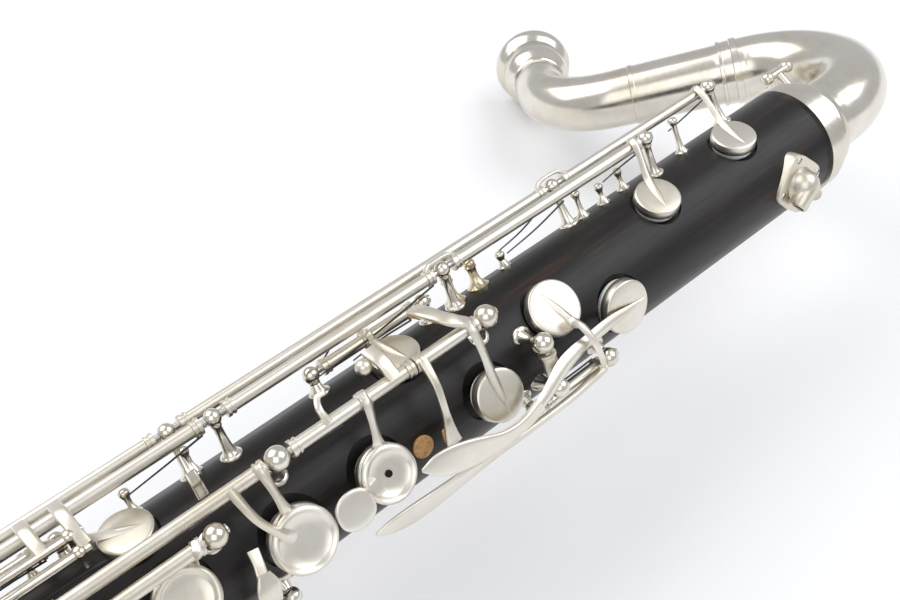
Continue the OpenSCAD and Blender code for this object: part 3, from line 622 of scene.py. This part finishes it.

# %% [markdown]
# Posts are turned in one piece: a round foot, a waisted leg and a ball that the hinge rod
# passes through. The outer ones end in a slotted screw.

# %% Posts
# Near-black metal that paints shade: inside the screw slots, in the lyre holder's bores and in the
# first plate's vent hole.
painted_shade_metal = plate_metal("slot_shadow", (0.03, 0.028, 0.025), (0.015, 0.014, 0.013), 0.6, 0.4)
FOOT = 17.1  # radius that a post's foot starts from, just inside the wood
POSTS = {
    "side_posts": [("outer", x, 2.3) for x in (-21.2, -90, -220, -330, -372)]
    + [("inner", x, 2.3) for x in (-57, -137, -210, -310)]
    + [("side", x, 2.3) for x in (-145, -182, -254, -300)],
    "stack_posts": [("stack", x, 3.2) for x in (-140.4, -205.6, -268, -386, -424, -462, -497)]
    + [("mid", x, 3) for x in (-227, -264)],
    "throat_posts": [("throat", x, 2.8) for x in (-108, -136)]
    + [("sliver", x, 2.4) for x in (-216.5, -234)],
    "back_posts": [("back", x, 2.3) for x in (-66, -160)]
    + [("thumb", x, 2.6) for x in (-166, -192)],
    "low_posts": [("low", x, 3.2) for x in (-505, -541, -588, -637, -682)],
}
SCREWED = {("outer", -21.2): 1, ("inner", -57): 1, ("stack", -140.4): 1, ("stack", -268): -1,
           ("throat", -108): 1, ("mid", -227): 1, ("side", -145): 1, ("back", -66): 1,
           ("low", -505): 1, ("thumb", -166): 1, ("stack", -386): 1, ("outer", -372): -1}


def post_profile(height, ball):
    """(radius, height) of a post from under its foot to the top of its ball."""
    neck = height - ball * 0.86
    leg = [(0, 0), (2.9, 0), (3.0, 0.25), (3.0, 1.1), (2.8, 1.35), (2.1, 1.6), (1.75, 2.3),
           (1.45, 3.6), (1.2, max(4.2, neck * 0.6)), (1.15, neck - 0.9), (1.45, neck - 0.5),
           (1.45, neck - 0.1)]
    turns = np.linspace(math.radians(32), math.pi, 14)
    return leg + [(ball * math.sin(a), height - ball * math.cos(a)) for a in turns]


def screw(at, axis, r, name, body="instrument"):
    """Slotted screw head, and a thin near-black box across it as painted shade in its slot."""
    a = unit(axis)
    u, v = across(a)
    head = grid_mesh(name, lathe_rings(at, a, [(0, -0.6), (r, -0.6), (r, 0.2), (r - 0.15, 0.4),
                                               (r * 0.5, 0.5), (0, 0.52)], 28), nickel, body)
    turn = unit(u + 0.6 * v)
    other = np.cross(a, turn)
    box = [[at + a * h + turn * s * (r - 0.12) + other * w * 0.17
            for s, w in ((1, 1), (-1, 1), (-1, -1), (1, -1))] for h in (0.2, 0.56)]
    line = grid_mesh(name + "_slot", box, painted_shade_metal, body, smooth=20)
    return head, line


for node, places in POSTS.items():
    turned_posts, screws, slots = [], [], []
    for i, (line, x, ball_r) in enumerate(places):
        angle, radius = LINES[line]
        turned_posts.append(grid_mesh("%s_%d" % (node, i), lathe_rings(
            pt(x, angle, FOOT), out_of(angle), post_profile(radius - FOOT, ball_r), 32), nickel))
        if (line, x) in SCREWED:
            way = SCREWED[(line, x)]
            head, cut = screw(pt(x, angle, radius) + np.array([way * (ball_r - 0.25), 0, 0]),
                              (way, 0, 0), 1.25, "%s_screw%d" % (node, i))
            screws.append(head)
            slots.append(cut)
    if node == "throat_posts":
        for s in (-7, 7):
            up = out_of(g_pivot_angle)
            top = g_pivot - s * g_axis
            turned_posts.append(grid_mesh("g_post%d" % (s + 7), lathe_rings(
                top - up * 10, up, post_profile(10, 2.9), 32), nickel))
            head, cut = screw(top + up * 0.3 + np.array([-2.4, 0, 0]), (-1, 0, 0.5), 1.3,
                              "g_screw%d" % (s + 7))
            screws.append(head)
            slots.append(cut)
    piece = join(node + "_turned", turned_posts + screws, [node])
    join(node + "_slots", slots)

# %% [markdown]
# The lyre holder is a thick plate on four screws. Its boss has one wide hole for the stem
# and a narrow one for the set screw.

# %% Lyre holder
LYRE = Matrix.Rotation(math.radians(19.5), 3, "X")
LYRE_X, BODY_R = -17.4, 18
BORE_H = 4.6  # height of the boss's two cross holes over the wood
SCREW_REACH = 8.4


def on_lyre(points):
    """Points of the plate's own frame, with Z out of the body, in the instrument's frame."""
    p = np.asarray(points, float) + np.array([LYRE_X, 0, BODY_R])
    return p @ np.array(LYRE).T


def plate_ring(size, z, around=64):
    """Rounded square with its corners along the bore: |u|^n + |v|^n = size^n, n = 5."""
    t = np.linspace(0, 2 * np.pi, around, endpoint=False)
    c, s = np.cos(t), np.sin(t)
    reach = size / (np.abs(c) ** 5 + np.abs(s) ** 5) ** 0.2
    u, v = reach * c, reach * s
    return np.stack([(u - v) / math.sqrt(2), (u + v) / math.sqrt(2), np.full(around, z)], axis=1)


lyre_parts = [grid_mesh("lyre_base", on_lyre([plate_ring(k, z) for k, z in (
    (0.01, -3.2), (8.3, -3.2), (8.3, 0.8), (8.15, 1.05), (7.8, 1.15), (0.01, 1.2))]),
    satin_nickel)]
boss = lathe_rings((0, 0, 0.6), (0, 0, 1), [
    (0, 0), (5.6, 0), (5.6, 0.7), (5.2, 1.2), (5.0, 2.2), (4.7, 3.6), (4.0, 4.9), (2.9, 5.9),
    (1.4, 6.5), (0, 6.7)], 48)
lyre_parts.append(grid_mesh("lyre_boss", on_lyre(boss), satin_nickel))
BORE_TURN = math.radians(35)
stem_way = unit([-math.cos(BORE_TURN), -math.sin(BORE_TURN), 0])
set_way = unit([math.sin(BORE_TURN), -math.cos(BORE_TURN), 0])
for name, d, reach, r, hole in (("stem", stem_way, 7.4, 2.9, 1.95),
                                ("set", set_way, 5.6, 2.1, 1.15)):
    rings = lathe_rings((0, 0, BORE_H), d, [
        (0, 0), (r, 0), (r, reach - 0.4), (r - 0.3, reach), (hole + 0.3, reach),
        (hole, reach - 0.3), (hole, 0.6), (0, 0.6)], 40)
    lyre_parts.append(grid_mesh("lyre_" + name, on_lyre(rings), satin_nickel))
piece = join("lyre_holder", lyre_parts, ["lyre_plate"])
# Near-black cylinders inside the boss's two holes are painted shade in the bores.
dark = [grid_mesh("lyre_dark%d" % i, on_lyre(lathe_rings((0, 0, BORE_H), d, [
    (0, 0.7), (r, 0.7), (r, 4.4), (0, 4.4)], 24)), painted_shade_metal)
    for i, (d, r) in enumerate(((stem_way, 1.9), (set_way, 1.08)))]
join("lyre_bore_shade", dark)
heads, cuts = [], []
for i in range(4):
    a = math.pi / 2 * i
    at = on_lyre([[SCREW_REACH * math.cos(a), SCREW_REACH * math.sin(a), 1.05]])[0]
    head, cut = screw(at, np.array(LYRE) @ np.array([0, 0, 1.0]), 1.05, "lyre_screw%d" % i)
    heads.append(head)
    cuts.append(cut)
join("lyre_screw_heads", heads, ["lyre_screws"])
join("lyre_screw_slots", cuts)

# %% [markdown]
# The neck is drawn again as smooth tubes that taper from the ring to the socket. Rings sit
# where the tubes slide into each other.

# %% Neck
NECK_TURN = math.radians(-168)
BEND, BACK = math.radians(136), math.radians(81)  # how far the two bends turn
BEND_R, BACK_R = 33, 30.6
STRAIGHT = (16, 50, 12)  # straight runs before, between and after the bends


def neck_place(u, w):
    """Place u along the bore and w away from it in the neck's plane."""
    return np.array([u, -w * math.sin(NECK_TURN), w * math.cos(NECK_TURN)])


def neck_line():
    """Centreline of the neck by distance: two straights and two arcs, as (s, u, w) rows."""
    rows, s, u, w, turn = [], 0.0, 9.0, 0.0, 0.0
    for length, rate in ((STRAIGHT[0], 0), (BEND_R * BEND, 1 / BEND_R), (STRAIGHT[1], 0),
                         (BACK_R * BACK, -1 / BACK_R), (STRAIGHT[2], 0)):
        n = max(2, int(length / 1.2))
        for _ in range(n):
            rows.append((s, u, w))
            turn += rate * length / n / 2
            u += math.cos(turn) * length / n
            w += math.sin(turn) * length / n
            s += length / n
            turn += rate * length / n / 2
    rows.append((s, u, w))
    return np.array(rows)


LINE = neck_line()
BEND_AT = STRAIGHT[0] + BEND_R * BEND
SLEEVE_AT, UPPER_AT, TIP_AT = BEND_AT + 0.8, BEND_AT + 41, LINE[-1, 0]


def neck_tube(name, s0, s1, radius, nodes=(), around=56):
    """Tube along the neck from s0 to s1, with radius given as (s, r) pairs."""
    s = np.unique(np.concatenate([np.linspace(s0, s1, max(4, int((s1 - s0) / 1.2))),
                                  np.clip([k for k, _ in radius], s0, s1)]))
    path = np.array([neck_place(np.interp(k, LINE[:, 0], LINE[:, 1]),
                                np.interp(k, LINE[:, 0], LINE[:, 2])) for k in s])
    r = np.interp(s, [k for k, _ in radius], [v for _, v in radius])
    along = unit(np.gradient(path, axis=0))
    flat = np.array([0, math.cos(NECK_TURN), math.sin(NECK_TURN)])
    side = np.cross(along, flat)
    t = np.linspace(0, 2 * np.pi, around, endpoint=False)
    spin = np.cos(t)[:, None, None] * side[None] + np.sin(t)[:, None, None] * flat
    return grid_mesh(name, (path[None] + r[None, :, None] * spin).transpose(1, 0, 2), nickel,
                     stands_for=nodes, smooth=35)


neck_tube("neck_lower_tube", 0, SLEEVE_AT, [
    (0, 16.8), (1.6, 16.9), (3.2, 16.4), (4.4, 15), (5.4, 13.9), (7, 13.2), (10, 12.9), (16, 12.7),
    (40, 12.5), (BEND_AT - 2, 12.25), (SLEEVE_AT, 12.2)], ["neck_lower"])
neck_tube("neck_sleeve_tube", SLEEVE_AT, UPPER_AT + 0.6, [
    (SLEEVE_AT, 12.3), (SLEEVE_AT + 0.2, 12.9), (SLEEVE_AT + 2.6, 12.9), (SLEEVE_AT + 2.9, 12.4),
    (SLEEVE_AT + 6.2, 12.2), (SLEEVE_AT + 6.4, 12.6), (SLEEVE_AT + 7.6, 12.6),
    (SLEEVE_AT + 7.8, 11.7), (SLEEVE_AT + 9, 11.6), (UPPER_AT, 11.4), (UPPER_AT + 0.6, 11.4)],
    ["neck_sleeve"])
neck_tube("neck_upper_tube", UPPER_AT, TIP_AT, [
    (UPPER_AT, 11.6), (UPPER_AT + 0.2, 11.75), (UPPER_AT + 1.8, 11.75), (UPPER_AT + 2.1, 11.35),
    (UPPER_AT + 30, 10.9), (TIP_AT, 10.3)], ["neck_upper"])

# %% [markdown]
# The socket has a beaded rim and a stepped neck. It stays hollow, so that it can take a
# mouthpiece.

# %% Mouthpiece socket
end, before = LINE[-1], LINE[-2]
tip = neck_place(end[1], end[2])
tip_way = unit(tip - neck_place(before[1], before[2]))
socket_profile = [(9.3, 0), (10.7, 0), (11.2, 0.6), (11.2, 1.4), (10.9, 1.9), (11.6, 3.6),
                  (13.2, 6), (13.8, 7.6), (13.9, 9), (13.5, 9.5), (13.5, 18.2), (14.0, 18.8),
                  (15.2, 20.4),
                  (16.1, 21.8), (16.5, 23.4), (16.4, 25), (15.8, 26.3), (14.8, 27), (13.2, 27.1),
                  (12.5, 26.9), (12.2, 26.4), (12.2, 7), (9.3, 5.6)]
grid_mesh("socket_turned", lathe_rings(tip, tip_way, socket_profile, 72), nickel,
                  stands_for=["mouthpiece_socket"], loop=True, smooth=30)

# %% [markdown]
# Cork and felt keep metal off metal. A cork disc is let into the wood below the long
# lever, and thin cork sits under the link arms.

# %% Corks
def disc(x, angle, r, radius, thick):
    """Small round pad lying on the body's curve at radius r, as rings."""
    return lathe_rings(pt(x, angle, r), out_of(angle), [
        (0, -0.8), (radius, -0.8), (radius, thick - 0.25), (radius - 0.25, thick),
        (0, thick + 0.1)], 36)


grid_mesh("cork_rest", disc(-169.8, 11.2, 17.6, 3.1, 1.1), cork)
vent_cork = lever([(-163.7, 2, 20.0), (-163.5, 9, 19.5), (-163.4, 15, 19.1)],
                  [1.6, 2.1, 1.9], [0.7, 0.8, 0.7])
link_cork = lever([(-153.4, -57, 31.7), (-153.6, -64, 30.6)], [1.8, 1.9], [0.7, 0.7])
vent_place, vent_angle = KEYS["first_plate_key"][2]
# A thin near-black disc on the first plate's dish is painted shade standing for its vent hole.
vent_hole_shade = lathe_rings(pt(vent_place, vent_angle, SEAT + PAD + 2.55), out_of(vent_angle),
                        [(0, 0), (0.85, 0), (0.95, 0.13), (0, 0.14)], 24)
grid_mesh("vent_arm_cork", swing(vent_cork, "stack", OPEN_SWING), cork, "upper_vent_key")
grid_mesh("link_cork", swing(link_cork, "stack", OPEN_SWING), cork, "upper_vent_key")
grid_mesh("vent_hole_shade", swing(vent_hole_shade, "stack", OPEN_SWING), painted_shade_metal, "first_plate_key")

# %% [markdown]
# Under the long rods sit small brass-coloured posts, spring hooks and a raised block of the
# wood. Needle springs run from post to post.

# %% Small posts and springs
POST_FOOT = 16.8  # a flared foot starts a little deeper than a turned one


def small_post(name, x, angle, top, ball_r, coat, wide):
    """Waisted post with a flared foot, from the wood up to radius top."""
    h = top - POST_FOOT
    profile = [(0, 0), (2.5 * wide, 0), (2.6 * wide, 1.6), (1.9 * wide, 2.2), (1.2 * wide, 3.6),
               (1.0 * wide, h * 0.6), (1.1 * wide, h - ball_r), (1.5 * wide, h - ball_r * 0.6)]
    profile += [(ball_r * math.sin(a), h - ball_r * math.cos(a) * 0.8)
                for a in np.linspace(1.1, math.pi, 9)]
    return grid_mesh(name, lathe_rings(pt(x, angle, POST_FOOT), out_of(angle), profile, 28), coat)


brass_posts = [small_post("brass_post%d" % i, x, a, top, 1.7, brass, 1.25)
               for i, (x, a, top) in enumerate([(-127, -88, 25.5), (-135.5, -88, 25.5)])]
join("brass_posts", brass_posts)
hooks = [small_post("hook%d" % i, x, a, top, 1.5, nickel, 0.8)
         for i, (x, a, top) in enumerate([(-43, -86, 28.6), (-116, -92, 22), (-182, -92, 22),
                                          (-219, -92, 24.5), (-85.7, -88, 25.6), (-68, -90, 24),
                                          (-77, -88, 23.5), (-236, -90, 24), (-262, -92, 24)])]
join("spring_hooks", hooks)
springs = []
for i, (line, x0, x1, drop) in enumerate([
        ("outer", -25, -43, 5.0), ("inner", -61, -77, 4.2), ("inner", -92, -116, 6.5),
        ("outer", -94, -116, 7.5), ("inner", -141, -182, 6.5), ("outer", -170, -182, 7.5),
        ("inner", -214, -236, 5.0), ("stack", -144, -158, 6.0), ("stack", -209, -230, 6.5),
        ("stack", -209, -186, 6.5), ("throat", -112, -132, 3.2), ("side", -150, -170, 3.0),
        ("side", -258, -280, 3.0)]):
    a, r = LINES[line]
    springs.append(grid_mesh("spring%d" % i, swept_rings(
        [pt(x0, a, r - 2.6), pt((x0 + x1) / 2, a, r - drop * 0.8), pt(x1, a + 1, r - drop)],
        [0.28, 0.25, 0.2], [0.28, 0.25, 0.2], out_of(a)), spring_steel))
join("needle_springs", springs)
grid_mesh("raised_block", lever(
    [(-246, -62, 18.2), (-252, -62, 19.6), (-268, -62, 19.8), (-276, -62, 18)],
    [2.4, 3.1, 3.1, 2.4], [1.2, 1.7, 1.7, 1.0]), wood)
BAR_R, BAR_START, BAR_LINES = 1.25, -318, ((-67, 28.6), (-59, 26.6))
bars = []
for i, ((a, r), x1) in enumerate(zip(BAR_LINES, (-248.6, -249.2))):
    length = x1 - BAR_START
    bars.append(grid_mesh("bar%d" % i, lathe_rings(pt(BAR_START, a, r), (1, 0, 0), [
        (0, 0), (BAR_R * 0.8, 0), (BAR_R, 0.3), (BAR_R, length - 0.3), (BAR_R * 0.8, length),
        (0, length)], 24), nickel))
bars.append(grid_mesh("tab", lever([(-222.8, -52, 22), (-222.8, -57, 25.4), (-222.8, -61, 27.6)],
                                   [1.6, 1.5, 1.5], [0.6] * 3), nickel))
for x in (-252, -312):
    for a, r in BAR_LINES:
        bars.append(small_post("bar_post%d%d" % (-x, -a), x, a, r + 0.4, 1.7, nickel, 0.8))
join("side_bars", bars)
print("small fittings done")

# %% [markdown]
# The table and the backdrop are one pale sheet. A large soft light hangs on the left, and
# two weaker ones fill from the right and from the front.

# %% Table and lights
def sheet(name, size, colour):
    """Square sheet of paper on the floor."""
    h = size / 2
    mesh = bpy.data.meshes.new(name)
    mesh.from_pydata([(-h, -h, 0), (h, -h, 0), (h, h, 0), (-h, h, 0)], [], [(0, 1, 2, 3)])
    o = bpy.data.objects.new(name, mesh)
    bpy.context.scene.collection.objects.link(o)
    m, t, s, where = material(name + "_paper", Roughness=0.6)
    shade = tuple(0.98 * c for c in colour)
    tone = ramp(t, noise(t, where, 3, 2), [(0.3, colour), (0.7, shade)])
    t.links.new(tone, s.inputs["Base Color"])
    mesh.materials.append(m)


sheet("table", 12.0, (0.90, 0.905, 0.92))


def lamp(name, at, size, power, colour=(1, 1, 1)):
    """Square area light at a place, facing the instrument."""
    data = bpy.data.lights.new(name, "AREA")
    data.energy, data.size, data.color = power, size, colour
    o = bpy.data.objects.new(name, data)
    bpy.context.scene.collection.objects.link(o)
    o.location = at
    o.rotation_euler = (Vector((0.2, 0, 0)) - Vector(at)).to_track_quat("-Z", "Y").to_euler()


lamp("key_light", (-0.5, 1.3, 1.7), 2.0, 25, (1.0, 0.985, 0.96))
lamp("fill_light", (1.3, -0.7, 1.6), 1.6, 17, (0.97, 0.98, 1.0))
lamp("front_light", (-1.0, -1.2, 1.5), 1.8, 11, (1.0, 1.0, 1.0))
world = bpy.data.worlds.new("studio")
bpy.context.scene.world = world
world.use_nodes = True
world.node_tree.nodes["Background"].inputs["Color"].default_value = (0.96, 0.97, 1.0, 1)
world.node_tree.nodes["Background"].inputs["Strength"].default_value = 0.6

# %% [markdown]
# The camera looks down at the finger side from beyond the bell end, with the top of the
# instrument at the upper right.

# %% Camera
def turned(v):
    """Direction in the instrument's frame as a world direction."""
    return (LAID.to_3x3() @ Vector(v)).normalized()


eye = Vector(to_world([[-268.1, 115.6, 264.1]])[0])
right, up = turned((0.7553, -0.3972, 0.5214)), turned((0.4998, 0.8636, -0.0662))
back = right.cross(up)
lens = bpy.data.cameras.new("camera")
lens.sensor_width, lens.lens, lens.clip_start = 36, 45.2, 0.01
camera = bpy.data.objects.new("camera", lens)
bpy.context.scene.collection.objects.link(camera)
camera.matrix_world = Matrix((
    (right.x, up.x, back.x, eye.x), (right.y, up.y, back.y, eye.y),
    (right.z, up.z, back.z, eye.z), (0, 0, 0, 1)))
bpy.context.scene.camera = camera
bpy.context.scene.view_settings.view_transform = "Standard"
print("camera at", eye, "looking", -back)
